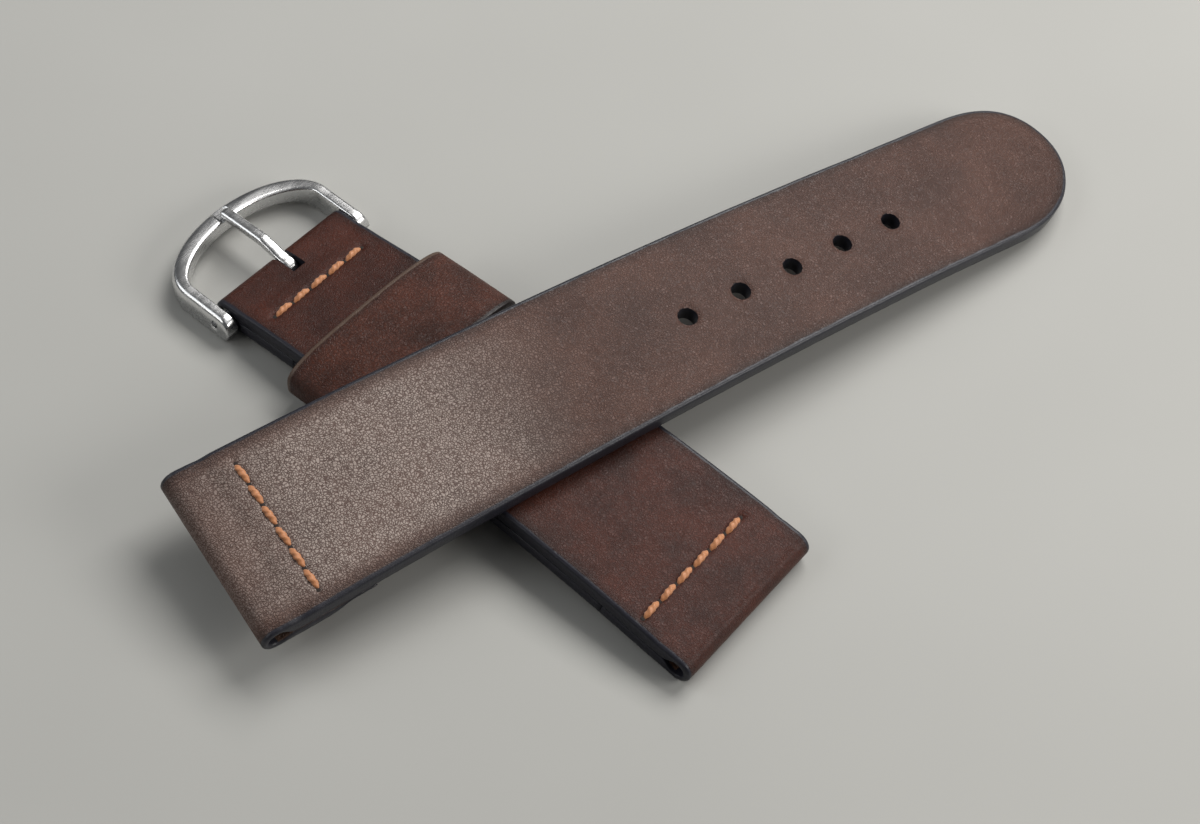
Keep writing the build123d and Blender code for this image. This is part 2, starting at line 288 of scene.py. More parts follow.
tailSettings = {
    "length": 121.0,
    "reach": 121.35,
    "thickness": 2.2,
    "lugHalf": 11.0,
    "half": 9.8,
    "taper": (4.0, 93.0),
    "rim": 0.42,
    "rimShare": 0.45,
    "skin": 0.8,
    "skinRuns": (0.3, 2.1),
    "flap": 12.0,
    "flapBody": 0.55,
    "flapPareRuns": (5.8, 9.6),
    "flapPareShare": 0.85,
    "flapLift": 1.37,
    "flapLiftRuns": (5.0, 9.0),
    "flapEdge": 0.35,
    "flapFlesh": 0.75,
    "backEdgeShare": 0.6,
    "valley": (2.9, 0.17),
    "bumps": ((0.05, 0.16, 3.1), (0.02, 0.5, 8.3)),
    "sway": (0.06, 0.07, 5.5),
    "stitchRow": (6.0, -0.3, 6),
    "stitchSlant": 5,
    "punchRuns": (59.8, 67.7, 75.6, 83.5, 91.4),
    "punchOffset": -0.6,
    "punchRadius": 1.2,
    "punchSides": 48,
    "punchDepth": 8,
    "lip": (0.16, 0.35),
    "lipReach": 3,
    "tipFar": ((109.5, 9.8), (117.5, 9.8), (121.0, 6.0), (121.0, 0.8)),
    "tipNear": ((121.0, 0.8), (121.0, -4.0), (116.0, -9.8), (106.2, -9.8)),
    "tipSteps": 40,
    "tipStart": 100.0,
    "tipRimStart": 96.0,
    "steps": (0.5, 0.18, 0.34),
    "fineReaches": {"stitches": 0.9, "nose": 3.4, "tip": 0.6, "punch": 1.6},
}


def bezier(points, steps):
    a, b, c, d = (Vector((*p, 0)) for p in points)
    shares = [i / steps for i in range(steps + 1)]
    return [
        a * (1 - t) ** 3 + b * 3 * t * (1 - t) ** 2 + c * 3 * t * t * (1 - t) + d * t ** 3
        for t in shares
    ]


# Tail strap leather: one strip folded at the lug, with a lopsided rounded tip
def buildTailLeather():
    s = tailSettings
    path = foldPath(tailArch, s["flap"], s["reach"])
    flapLength = s["flap"] * (1 - noseRadius / tailArch[0])
    noseLength = math.pi * noseRadius
    topStart = flapLength + noseLength
    topLength = path.total - topStart
    tip = bezier(s["tipFar"], s["tipSteps"]) + bezier(s["tipNear"], s["tipSteps"])[1:]
    tipEnds = {}

    def tipEnd(across):
        key = round(across, 4)
        if key not in tipEnds:
            ends = [s["tipNear"][-1][0] if across < 0 else s["tipFar"][0][0]]
            for a, b in zip(tip, tip[1:]):
                if (a.y - across) * (b.y - across) <= 0 and abs(a.y - b.y) > tiny:
                    ends.append(a.x + (b.x - a.x) * (across - a.y) / (b.y - a.y))
            tipEnds[key] = max(ends)
        return tipEnds[key]

    def tipDistance(run, across):
        if run < s["tipRimStart"]:
            return math.inf
        best = math.inf
        spot = Vector((run, across, 0))
        for a, b in zip(tip, tip[1:]):
            way = b - a
            t = min(max((spot - a).dot(way) / way.length_squared, 0), 1)
            best = min(best, (a + way * t - spot).length)
        return best

    def locate(u, share):
        if u < flapLength:
            zone, run = "flap", s["flap"] * (1 - u / flapLength)
        elif u < topStart:
            zone, run = "nose", 0.0
        else:
            zone, run = "top", (u - topStart) / topLength * s["reach"]
        across = share * taperHalf(s, run)
        planRun = run * s["length"] / s["reach"]
        if zone == "top" and planRun > s["tipStart"]:
            stretch = (tipEnd(across) - s["tipStart"]) / (s["length"] - s["tipStart"])
            planRun = s["tipStart"] + (planRun - s["tipStart"]) * stretch
            run = planRun * s["reach"] / s["length"]
        side = taperHalf(s, run) - abs(across)
        distance = min(side, tipDistance(planRun, across)) if zone == "top" else side
        return run, across, zone, distance

    def thickness(zone, run):
        if zone == "nose":
            return s["skin"]
        grown = smoothStep(*s["skinRuns"], run)
        if zone == "top":
            return s["skin"] + (s["thickness"] - s["skin"]) * grown
        pared = s["flapPareShare"] * smoothStep(*s["flapPareRuns"], run)
        return (s["skin"] + s["flapBody"] * grown) * (1 - pared)

    def place(u, share, w):
        run, across, zone, distance = locate(u, share)
        onTop = zone == "top"
        point, normal = path.at(topStart + run / s["reach"] * topLength if onTop else u)
        depth = thickness(zone, run)
        drop = rimDrop(distance, min(s["rim"], depth * s["rimShare"]))
        inward = depth - drop if w else drop
        if zone == "flap":
            # the flap's outer face rises as it is pared towards its end
            inward += (s["flapLift"] - depth) * smoothStep(*s["flapLiftRuns"], run)
        if onTop and not w:
            inward += stitchDip(run, across, s["stitchRow"]) + foldValley(run, *s["valley"])
            for punchRun in s["punchRuns"]:
                away = math.hypot(run - punchRun, across - s["punchOffset"])
                if away < s["lipReach"]:
                    lipDepth, lipWidth = s["lip"]
                    inward += lipDepth * math.exp(-((away - s["punchRadius"]) / lipWidth) ** 2)
            inward -= softNoise((run, across), *s["bumps"])
        sway = softNoise((run, 0), s["sway"])
        x, z = (point[k] - normal[k] * inward for k in (0, 1))
        return Vector((x, across + sway, z)), across

    def marks(u, share, w):
        run, across, zone, distance = locate(u, share)
        if zone == "flap":
            return distance + s["flapEdge"], s["flapFlesh"]
        # the inside of the fold round the bar gets full black edge paint: painted shade inside the
        # channel
        if zone == "nose" and w:
            return 0.0, 0.0
        return distance * (s["backEdgeShare"] if w else 1), w

    reaches = s["fineReaches"]
    fine = [(topStart + run / s["reach"] * topLength, reaches["punch"]) for run in s["punchRuns"]]
    fine.append((topStart + s["stitchRow"][0], reaches["stitches"]))
    fine.append((flapLength + noseLength / 2, reaches["nose"]))
    fine.append((path.total, reaches["tip"]))
    step, fineStep, columnStep = s["steps"]
    rows = spacing(path.total, step, fine, fineStep)
    return leatherSlab("tailLeather", rows, acrossShares(s["half"], columnStep), place, marks)


shortSettings = {
    "lugHalf": 11.0,
    "half": 9.9,
    "taper": (4.0, 62.0),
    "rim": 0.4,
    "rimShare": 0.45,
    "innerRim": 0.14,
    "lugFlap": 10.4,
    "endFlap": 11.0,
    "layer": 1.78,
    "skin": 0.8,
    "skinRuns": (0.3, 2.0),
    "lugValley": (3.0, 0.14),
    "endValley": (2.9, 0.1),
    "bumps": ((0.04, 0.17, 1.7), (0.02, 0.5, 4.3)),
    "sway": (0.05, 0.09, 2.5),
    "lugStitchRow": (6.0, 1.0, 6),
    "endStitchRow": (62.4, 0.2, 5),
    "stitchSlant": 4,
    "notchHalf": 0.95,
    "notchLength": 2.15,
    "notchBlock": 8,
    "steps": (0.5, 0.18, 0.34),
    "fineReaches": {"stitches": 0.9, "nose": 3.4},
    "lining": 1.74,
    "liningGap": 0.1,
    "liningSteps": (0.8, 0.2, 0.8),
}


# Buckle strap leather: one strip folded at both ends
def buildShortLeather():
    s = shortSettings
    path = foldPath(shortArch, s["lugFlap"], shortLength, s["endFlap"])
    noseLength = math.pi * noseRadius
    flapLength = s["lugFlap"] * (1 - noseRadius / shortArch[0])
    topStart = flapLength + noseLength
    topLength = shortLength * (1 + noseRadius / shortArch[0])
    endNose = topStart + topLength
    endFlap = endNose + noseLength

    def locate(u, share):
        if u < flapLength:
            zone, run = "flap", s["lugFlap"] * (1 - u / flapLength)
        elif u < topStart:
            zone, run = "nose", 0.0
        elif u < endNose:
            zone, run = "top", (u - topStart) / topLength * shortLength
        elif u < endFlap:
            zone, run = "nose", shortLength
        else:
            zone, run = "flap", shortLength - (u - endFlap)
        half = taperHalf(s, run)
        return zone, run, share * half, half - abs(share * half)

    def thickness(zone, run):
        if zone == "nose":
            return s["skin"]
        grown = smoothStep(*s["skinRuns"], min(run, shortLength - run))
        return s["skin"] + (s["layer"] - s["skin"]) * grown

    def place(u, share, w):
        zone, run, across, distance = locate(u, share)
        point, normal = path.at(u)
        depth = thickness(zone, run)
        if w:
            inward = depth - rimDrop(distance, s["innerRim"])
        else:
            inward = rimDrop(distance, min(s["rim"], depth * s["rimShare"]))
        if zone == "top" and not w:
            inward += stitchDip(run, across, s["lugStitchRow"])
            inward += stitchDip(run, across, s["endStitchRow"])
            inward += foldValley(run, *s["lugValley"])
            inward += foldValley(shortLength - run, *s["endValley"])
            inward -= softNoise((run, across), *s["bumps"])
        sway = softNoise((run, 0), s["sway"])
        x, z = (point[k] - normal[k] * inward for k in (0, 1))
        return Vector((x, across + sway, z)), across

    def marks(u, share, w):
        zone, run, across, distance = locate(u, share)
        # the inside of each fold round a bar gets full black edge paint: painted shade inside the
        # channel
        if zone == "nose" and w:
            return 0.0, 0.0
        return distance, w

    reaches = s["fineReaches"]
    fine = [
        (topStart + s["lugStitchRow"][0], reaches["stitches"]),
        (topStart + s["endStitchRow"][0], reaches["stitches"]),
        (flapLength + noseLength / 2, reaches["nose"]),
        (endNose + noseLength / 2, reaches["nose"]),
    ]
    step, fineStep, columnStep = s["steps"]
    rows = spacing(path.total, step, fine, fineStep)
    return leatherSlab("buckleLeather", rows, acrossShares(s["half"], columnStep), place, marks)


# The second layer, which fills the space between the two flaps
def buildLining():
    s = shortSettings
    start = s["lugFlap"] + s["liningGap"]
    end = shortLength - s["endFlap"] - s["liningGap"]
    path = SidePath(archRun(shortArch, end, start, -noseRadius))

    def locate(u, share):
        run = end - (end - start) * u / path.total
        half = taperHalf(s, run)
        return run, share * half, half - abs(share * half)

    def place(u, share, w):
        run, across, distance = locate(u, share)
        point, normal = path.at(u)
        if w:
            inward = s["lining"] - rimDrop(distance, s["innerRim"])
        else:
            inward = rimDrop(distance, s["rim"])
        sway = softNoise((run, 0), s["sway"])
        x, z = (point[k] - normal[k] * inward for k in (0, 1))
        return Vector((x, across + sway, z)), across

    def marks(u, share, w):
        return locate(u, share)[2], 0.0

    step, fineStep, columnStep = s["liningSteps"]
    rows = spacing(path.total, step, [], fineStep)
    return leatherSlab("buckleLining", rows, acrossShares(s["half"], columnStep), place, marks)


def addRound(bm, matrix, radius, depth, sides):
    bmesh.ops.create_cone(
        bm, cap_ends=True, segments=sides, radius1=radius, radius2=radius, depth=depth,
        matrix=matrix,
    )


def cutObject(obj, bm):
    tool = makeObject("cutter", bm)
    modifier = obj.modifiers.new("cut", "BOOLEAN")
    modifier.operation = "DIFFERENCE"
    modifier.solver = "EXACT"
    modifier.object = tool
    graph = bpy.context.evaluated_depsgraph_get()
    mesh = bpy.data.meshes.new_from_object(obj.evaluated_get(graph))
    obj.modifiers.remove(modifier)
    obj.data = mesh
    bpy.data.objects.remove(tool)


# A row of twisted stitches on both faces, with a dark blob of painted shade sunk at each end where
# the thread goes into its awl hole
def buildStitches(name, arch, row, slant, where):
    s = stitchSettings
    run, lean, count = row
    start = lean - count * s["pitch"] / 2
    length = s["pitch"] * s["lengthShare"]
    bm = bmesh.new()

    def stitchPoint(v):
        along = math.asin(min(max(v.co.z, -1), 1)) / (math.pi / 2)
        angle = math.atan2(v.co.y, v.co.x)
        bulge, softness = s["taperPowers"]
        belly = max(1 - abs(along) ** bulge, 0) ** softness
        body = s["endShare"] + (1 - s["endShare"]) * belly
        twist = 1 + s["twistDepth"] * math.cos(s["strands"] * (angle - along * s["twist"]))
        r = s["radius"] * body * twist if math.hypot(v.co.x, v.co.y) > poleRadius else 0.0
        rise = r * math.sin(angle) * s["flatness"] - s["endSink"] * abs(along) ** 3
        return Vector((r * math.cos(angle), along * length / 2, rise))

    rings, rows = s["segments"]
    poleRadius = math.sin(math.pi / rows) / 2
    for side in (1, -1):
        for index in range(count):
            middle = start + (index + 0.5) * s["pitch"]
            base = archFrame(arch, run, middle, side * (noseRadius - s["seat"]))
            turn = Matrix.Rotation(math.radians(slant * side), 4, "Z")
            made = bmesh.ops.create_uvsphere(bm, u_segments=rings, v_segments=rows, radius=1)
            for v in made["verts"]:
                local = stitchPoint(v)
                local.z *= side
                v.co = where @ (base @ (turn @ local))
    threadFaces = len(bm.faces)
    # near-black blobs of painted shade stand for the dark inside of each awl hole
    rings, rows = s["holeSegments"]
    shape = Matrix.Diagonal(s["holeSize"])
    for side in (1, -1):
        for index in range(count + 1):
            across = start + index * s["pitch"]
            base = archFrame(arch, run, across, side * (noseRadius - s["holeSeat"]))
            spot = where @ base @ shape
            bmesh.ops.create_uvsphere(bm, u_segments=rings, v_segments=rows, radius=1, matrix=spot)
    for index, face in enumerate(bm.faces):
        face.material_index = int(index >= threadFaces)
        face.smooth = True
    bmesh.ops.recalc_face_normals(bm, faces=bm.faces[:])
    return makeObject(name, bm)


keeperSettings = {
    "run": 49.2,
    "length": 12.0,
    "thickness": 1.1,
    "halfWidth": 13.0,
    "halfHeight": 3.13,
    "lift": -0.075,
    "power": 3.4,
    "rim": 0.28,
    "crown": 0.22,
    "shoulderDrop": 0.08,
    "seamGap": 0.003,
    "points": 360,
    "bump": (0.05, 0.2, 6.1),
    "wave": (0.12, 0.12, 9.4),
    "steps": (0.35, 0.2, 0.4),
}


# Keeper band: a strip bent round into a closed loop
def buildKeeper():
    s = keeperSettings
    points = []
    for i in range(s["points"] + 1):
        turned = (2 * math.pi - 2 * s["seamGap"]) * i / s["points"]
        angle = -math.pi / 2 + s["seamGap"] + turned
        c, d = math.cos(angle), math.sin(angle)
        x = s["halfWidth"] * math.copysign(abs(c) ** (2 / s["power"]), c)
        z = s["halfHeight"] * math.copysign(abs(d) ** (2 / s["power"]), d) + s["lift"]
        if z > 0:
            z += s["crown"] * max(1 - (x / s["halfWidth"]) ** 2, 0) - s["shoulderDrop"]
        points.append((x, z))
    path = SidePath(points)
    matrix = archFrame(shortArch, s["run"], 0, 0)
    half = s["length"] / 2

    def place(u, share, w):
        point, normal = path.at(u)
        along = share * half
        drop = rimDrop(half - abs(along), s["rim"])
        inward = s["thickness"] - drop if w else drop
        if not w:
            inward -= softNoise((u, along), s["bump"])
        # the path runs anticlockwise, so its left-hand normal points in
        y, z = (point[k] + normal[k] * inward for k in (0, 1))
        wave = softNoise((u, 0), s["wave"])
        return matrix @ Vector((along + wave, y, z)), along

    def marks(u, share, w):
        return half - abs(share * half), w

    step, fineStep, columnStep = s["steps"]
    rows = spacing(path.total, step, [], fineStep)
    return leatherSlab("keeperBand", rows, acrossShares(half, columnStep), place, marks)


# A closed bar with a rounded box section, swept along a list of frames
def sweepBox(name, frames, power, segments, shoulder, weld=0.0005):
    bm = bmesh.new()
    bmesh.ops.create_grid(bm, x_segments=len(frames) - 1, y_segments=segments, size=1)
    for v in bm.verts:
        angle = (v.co.y + 1) * math.pi
        center, acrossWay, upWay, halfAcross, halfUp = gridItem(frames, v.co.x)
        c, d = math.cos(angle), math.sin(angle)
        bend = shoulder if c > 0 and d > 0 else power
        a = halfAcross * math.copysign(abs(c) ** (2 / bend), c)
        b = halfUp * math.copysign(abs(d) ** (2 / bend), d)
        v.co = center + acrossWay * a + upWay * b
    bmesh.ops.remove_doubles(bm, verts=bm.verts[:], dist=weld)
    bmesh.ops.holes_fill(bm, edges=bm.edges[:], sides=0)
    for face in bm.faces:
        face.smooth = True
    bmesh.ops.recalc_face_normals(bm, faces=bm.faces[:])
    return makeObject(name, bm)


barX, barZ = archPoint(shortArch, shortLength, 0)
floorZ = -noseRadius

frameSettings = {
    "halfInner": 10.15,
    "arm": 1.75,
    "back": 2.2,
    "armFront": 5.0,
    "front": 12.0,
    "bar": 2.2,
    "height": 3.4,
    "noseLift": 0.95,
    "noseStart": 1.0,
    "frontDrop": 0.25,
    "endRound": 1.5,
    "endHalf": 0.12,
    "power": 7.0,
    "shoulder": 2.9,
    "armSteps": 26,
    "bowSteps": 80,
    "segments": 48,
    "holeRadius": 0.46,
    "holeSides": 40,
    "holeLength": 40,
    "rest": (5.0, 1.8, 0.9, 1),
    "restSetback": 1.1,
    "restSink": 0.05,
}


# Buckle frame: two arms and a bowed front bar, with pin holes and a rest for the tang
def buildFrame():
    s = frameSettings
    halfMid = s["halfInner"] + s["arm"] / 2
    depthMid = s["front"] - s["armFront"] - s["bar"] / 2
    armLength = s["armFront"] + s["back"]
    arm = [armLength * i / s["armSteps"] for i in range(s["armSteps"] + 1)]
    bow = [math.pi / 2 - math.pi * i / s["bowSteps"] for i in range(1, s["bowSteps"])]
    plan = [(x - s["back"], halfMid) for x in arm]
    plan += [(s["armFront"] + depthMid * math.cos(a), halfMid * math.sin(a)) for a in bow]
    plan += [(s["armFront"] - x, -halfMid) for x in arm]
    frames = []
    for i, (x, y) in enumerate(plan):
        before, after = plan[max(i - 1, 0)], plan[min(i + 1, len(plan) - 1)]
        way = Vector((after[0] - before[0], after[1] - before[1], 0)).normalized()
        frontShare = smoothStep(s["armFront"], s["front"] - s["bar"], x)
        halfAcross = (s["arm"] + (s["bar"] - s["arm"]) * frontShare) / 2
        lift = smoothStep(s["armFront"] - s["noseStart"], s["front"] - s["noseStart"], x)
        low = floorZ + s["noseLift"] * lift
        high = floorZ + s["height"] - s["frontDrop"] * frontShare
        pull = rimDrop(x + s["back"], s["endRound"])
        halfUp = max((high - low) / 2 - pull, s["endHalf"])
        center = Vector((barX + x, y, (low + high) / 2))
        frames.append((center, Vector((-way.y, way.x, 0)), Vector((0, 0, 1)), halfAcross, halfUp))
    obj = sweepBox("buckleFrame", frames, s["power"], s["segments"], s["shoulder"])
    cutter = bmesh.new()
    pin = Matrix.Translation((barX, 0, barZ)) @ Matrix.Rotation(math.pi / 2, 4, "X")
    addRound(cutter, pin, s["holeRadius"], s["holeLength"], s["holeSides"])
    restX, restZ = barX + s["front"] - s["restSetback"], floorZ + s["height"] - s["restSink"]
    rest = Matrix.Translation((restX, 0, restZ)) @ Matrix.Diagonal(s["rest"])
    bmesh.ops.create_cube(cutter, size=1, matrix=rest)
    cutObject(obj, cutter)
    return obj


tangSettings = {
    "width": 1.5,
    "thickness": 1.15,
    "ringThickness": 0.62,
    "ringRadius": 1.34,
    "ringTurn": (-150.0, -270.0),
    "ringSteps": 40,
    "bendSteps": 24,
    "barSteps": 30,
    "knee": (1.9, 1.39),
    "bend": (3.7, 1.95),
    "tip": (10.7, 1.62),
    "bow": 0.22,
    "thickenRuns": (3.0, 5.5),
    "power": 3.2,
    "segments": 24,
    "rounding": 0.5,
    "endEase": 0.02,
}


# Tang: a ring round the bar, a bend up over the leather and a slightly bowed bar
def buildTang():
    s = tangSettings
    line = []
    startTurn, endTurn = s["ringTurn"]
    for i in range(s["ringSteps"] + 1):
        angle = math.radians(startTurn + (endTurn - startTurn) * i / s["ringSteps"])
        line.append((s["ringRadius"] * math.cos(angle), s["ringRadius"] * math.sin(angle)))
    corner, knee, bend, tip = line[-1], s["knee"], s["bend"], s["tip"]
    for i in range(1, s["bendSteps"] + 1):
        t = i / s["bendSteps"]
        line.append(tuple(
            corner[k] * (1 - t) ** 2 + 2 * knee[k] * t * (1 - t) + bend[k] * t * t for k in (0, 1)
        ))
    for i in range(1, s["barSteps"] + 1):
        t = i / s["barSteps"]
        rise = s["bow"] * t * (1 - t)
        line.append((bend[0] + (tip[0] - bend[0]) * t, bend[1] + (tip[1] - bend[1]) * t + rise))
    total = sum(math.dist(a, b) for a, b in zip(line, line[1:]))
    frames = []
    length = 0.0
    for i, (x, z) in enumerate(line):
        before, after = line[max(i - 1, 0)], line[min(i + 1, len(line) - 1)]
        if i:
            length += math.dist(before, (x, z))
        way = Vector((after[0] - before[0], 0, after[1] - before[1])).normalized()
        inEnd = max(1 - (total - length) / s["rounding"], 0)
        ease = math.sqrt(max(1 - inEnd ** 2, s["endEase"]))
        grown = smoothStep(*s["thickenRuns"], length)
        thick = s["ringThickness"] + (s["thickness"] - s["ringThickness"]) * grown
        center = Vector((barX + x, 0, barZ + z))
        upWay = Vector((-way.z, 0, way.x))
        frames.append((center, Vector((0, 1, 0)), upWay, s["width"] / 2 * ease, thick / 2 * ease))
    return sweepBox("buckleTang", frames, s["power"], s["segments"], s["power"])


# A small builder for shader nodes
class Tree:
    def __init__(self, tree):
        self.tree = tree

    def node(self, kind, inputs=None, **settings):
        made = self.tree.nodes.new(kind)
        for key, value in settings.items():
            setattr(made, key, value)
        for key, value in (inputs or {}).items():
            self.put(made.inputs[key], value)
        return made

    def put(self, socket, value):
        if isinstance(value, bpy.types.NodeSocket):
            self.tree.links.new(value, socket)
        else:
            socket.default_value = value

    def math(self, operation, a, b=0.0):
        return self.node("ShaderNodeMath", {0: a, 1: b}, operation=operation).outputs[0]

    def vector(self, operation, inputs):
        return self.node("ShaderNodeVectorMath", inputs, operation=operation).outputs[0]

    def span(self, value, low, high, toLow=0.0, toHigh=1.0):
        labels = ("Value", "From Min", "From Max", "To Min", "To Max")
        inputs = dict(zip(labels, (value, low, high, toLow, toHigh)))
        made = self.node("ShaderNodeMapRange", inputs, interpolation_type="SMOOTHSTEP")
        return made.outputs["Result"]

    def mix(self, factor, a, b, blend="MIX"):
        inputs = {0: factor, 6: a, 7: b}
        return self.node("ShaderNodeMix", inputs, data_type="RGBA", blend_type=blend).outputs[2]

    def noise(self, place, scale, detail, rough=0.5):
        inputs = {"Vector": place, "Scale": scale, "Detail": detail, "Roughness": rough}
        return self.node("ShaderNodeTexNoise", inputs)

    def bump(self, shader, height, strength, depth):
        inputs = {"Height": height, "Strength": strength, "Distance": depth}
        self.put(shader.inputs["Normal"], self.node("ShaderNodeBump", inputs).outputs["Normal"])


def newGroup(name, inputs, outputs):
    group = bpy.data.node_groups.new(name, "ShaderNodeTree")
    for label, kind, value in inputs:
        socket = group.interface.new_socket(label, in_out="INPUT", socket_type=kind)
        if value is not None:
            socket.default_value = value
    for label, kind in outputs:
        group.interface.new_socket(label, in_out="OUTPUT", socket_type=kind)
    return Tree(group), group.nodes.new("NodeGroupInput"), group.nodes.new("NodeGroupOutput")


grainSettings = {
    "warpScale": 9.0,
    "warp": 0.09,
    "fineScale": 62.0,
    "creaseScale": 5.0,
    "dome": (0.0, 0.22),
    "domeBase": 0.55,
    "domeFine": 0.7,
    "fineHeight": 0.5,
    "crease": (0.0, 0.03),
}


# Pebbled grain: small rounded cells broken up by finer noise, with shallow long creases
def grainGroup():
    s = grainSettings
    t, start, end = newGroup(
        "pebbleGrain",
        [
            ("Vector", "NodeSocketVector", None),
            ("Cells", "NodeSocketFloat", 26.0),
            ("Creases", "NodeSocketFloat", 0.3),
        ],
        [("Height", "NodeSocketFloat"), ("Pits", "NodeSocketFloat")],
    )
    flat = start.outputs["Vector"]
    warp = t.noise(flat, s["warpScale"], 3.0).outputs["Color"]
    middle = (0.5, 0.5, 0.5)
    shift = t.vector("SUBTRACT", {0: warp, 1: middle})
    small = t.vector("SCALE", {0: shift, "Scale": s["warp"]})
    moved = t.vector("ADD", {0: flat, 1: small})
    cells = t.node(
        "ShaderNodeTexVoronoi",
        {"Vector": moved, "Scale": start.outputs["Cells"], "Randomness": 1.0},
        feature="DISTANCE_TO_EDGE",
    )
    fine = t.noise(moved, s["fineScale"], 5.0, 0.65).outputs["Fac"]
    crease = t.noise(moved, s["creaseScale"], 6.0, 0.7).outputs["Fac"]
    domes = t.span(cells.outputs["Distance"], *s["dome"])
    crack = t.span(t.math("ABSOLUTE", t.math("SUBTRACT", crease, middle[0])), *s["crease"])
    broken = t.math("ADD", s["domeBase"], t.math("MULTIPLY", fine, s["domeFine"]))
    height = t.math("MULTIPLY", domes, broken)
    height = t.math("ADD", height, t.math("MULTIPLY", fine, s["fineHeight"]))
    height = t.math("ADD", height, t.math("MULTIPLY", crack, start.outputs["Creases"]))
    t.put(end.inputs["Height"], height)
    t.put(end.inputs["Pits"], t.math("SUBTRACT", 1.0, domes))
    return t.tree


mottleSettings = {
    "speckScale": 34.0,
    "broadShare": 0.72,
    "speckShare": 0.32,
    "spread": (0.36, 0.68),
    "wear": (0.5, 0.75),
}


# Cloudy colour of waxed leather: broad patches, fine speckle and pale rubbed spots
def mottleGroup():
    s = mottleSettings
    t, start, end = newGroup(
        "leatherMottle",
        [
            ("Vector", "NodeSocketVector", None),
            ("Dark", "NodeSocketColor", (0.05, 0.02, 0.015, 1)),
            ("Light", "NodeSocketColor", (0.12, 0.05, 0.035, 1)),
            ("Patches", "NodeSocketFloat", 1.2),
        ],
        [("Color", "NodeSocketColor"), ("Wear", "NodeSocketFloat")],
    )
    flat = start.outputs["Vector"]
    broad = t.noise(flat, start.outputs["Patches"], 5.0, 0.62).outputs["Fac"]
    speck = t.noise(flat, s["speckScale"], 4.0, 0.7).outputs["Fac"]
    broadPart = t.math("MULTIPLY", broad, s["broadShare"])
    both = t.math("ADD", broadPart, t.math("MULTIPLY", speck, s["speckShare"]))
    color = t.mix(t.span(both, *s["spread"]), start.outputs["Dark"], start.outputs["Light"])
    t.put(end.inputs["Color"], color)
    t.put(end.inputs["Wear"], t.span(broad, *s["wear"]))
    return t.tree


# Fine scratches and smears on polished metal
def metalGroup(smearScale=260.0, scratchScale=900.0):
    t, start, end = newGroup(
        "metalWear",
        [
            ("Vector", "NodeSocketVector", None),
            ("Stretch", "NodeSocketVector", (1.0, 1.0, 1.0)),
        ],
        [("Smear", "NodeSocketFloat"), ("Scratch", "NodeSocketFloat")],
    )
    place, stretch = start.outputs["Vector"], start.outputs["Stretch"]
    drawn = t.vector("MULTIPLY", {0: place, 1: stretch})
    t.put(end.inputs["Smear"], t.noise(place, smearScale, 4.0).outputs["Fac"])
    t.put(end.inputs["Scratch"], t.noise(drawn, scratchScale, 6.0, 0.75).outputs["Fac"])
    return t.tree


groups = {"grain": grainGroup(), "mottle": mottleGroup(), "metal": metalGroup()}


def newMaterial(name):
    material = bpy.data.materials.new(name)
    material.use_nodes = True
    material.node_tree.nodes.clear()
    t = Tree(material.node_tree)
    shader = t.node("ShaderNodeBsdfPrincipled")
    t.node("ShaderNodeOutputMaterial", {"Surface": shader.outputs["BSDF"]})
    place = t.node("ShaderNodeTexCoord").outputs["Object"]
    return material, t, shader, place


leatherLooks = {
    "tail": {
        "dark": (0.058, 0.024, 0.016, 1),
        "light": (0.105, 0.046, 0.031, 1),
        "patches": 0.9,
        "paintedSheen": True,
        "shine": 0.36,
        "cells": 33.0,
        "creases": 0.25,
        "bump": 0.75,
        "rough": (0.56, 0.42),
    },
    "short": {
        "dark": (0.029, 0.0065, 0.0033, 1),
        "light": (0.074, 0.017, 0.0085, 1),
        "patches": 1.3,
        "shine": 0.22,
        "cells": 33.0,
        "creases": 0.3,
        "bump": 0.5,
        "rough": (0.54, 0.4),
    },
    "keeper": {
        "dark": (0.034, 0.0095, 0.005, 1),
        "light": (0.088, 0.025, 0.0135, 1),
        "patches": 1.6,
        "rimHighlight": True,
        "shine": 0.22,
        "cells": 25.0,
        "creases": 0.5,
        "bump": 0.6,
        "rough": (0.55, 0.4),
    },
    "lining": {
        "dark": (0.05, 0.026, 0.017, 1),
        "light": (0.1, 0.055, 0.036, 1),
        "patches": 1.6,
        "shine": 0.22,
        "cells": 30.0,
        "creases": 0.1,
        "bump": 0.25,
        "rough": (0.62, 0.5),
    },
}

# What every leather shares. Four numbers are (from, to, value there, value there).
leatherShared = {
    "rimShade": (0.3, 1.9, 0.5, 1.0),
    "pitShare": 0.45,
    "pit": (0.02, 0.009, 0.007, 1),
    "flesh": ((0.06, 0.03, 0.018, 1), (0.14, 0.075, 0.045, 1)),
    "fleshScale": 900.0,
    "paint": ((0.006, 0.006, 0.009, 1), (0.026, 0.026, 0.036, 1)),
    "paintScale": 1300.0,
    "paintReach": 0.42,
    "paintWander": 0.3,
    "wanderScale": 420.0,
    "paintFade": (0.08, -0.12),
    "paintRough": 0.38,
    "paintSmooth": 0.9,
    "paintGrit": 0.6,
    # keeper rim colours: near-black edge paint, and a painted highlight on the edge towards the
    # buckle
    "rimHighlight": ((0.012, 0.009, 0.009, 1), (0.09, 0.06, 0.045, 1)),
    "highlightSide": (0.02, 0.06),
    "rimCover": 0.9,
    "grainHeights": (0.2, 1.3),
    "wearRough": 0.05,
    "coat": 0.05,
    "coatRough": 0.32,
    "bumpDepth": 0.00009,
}

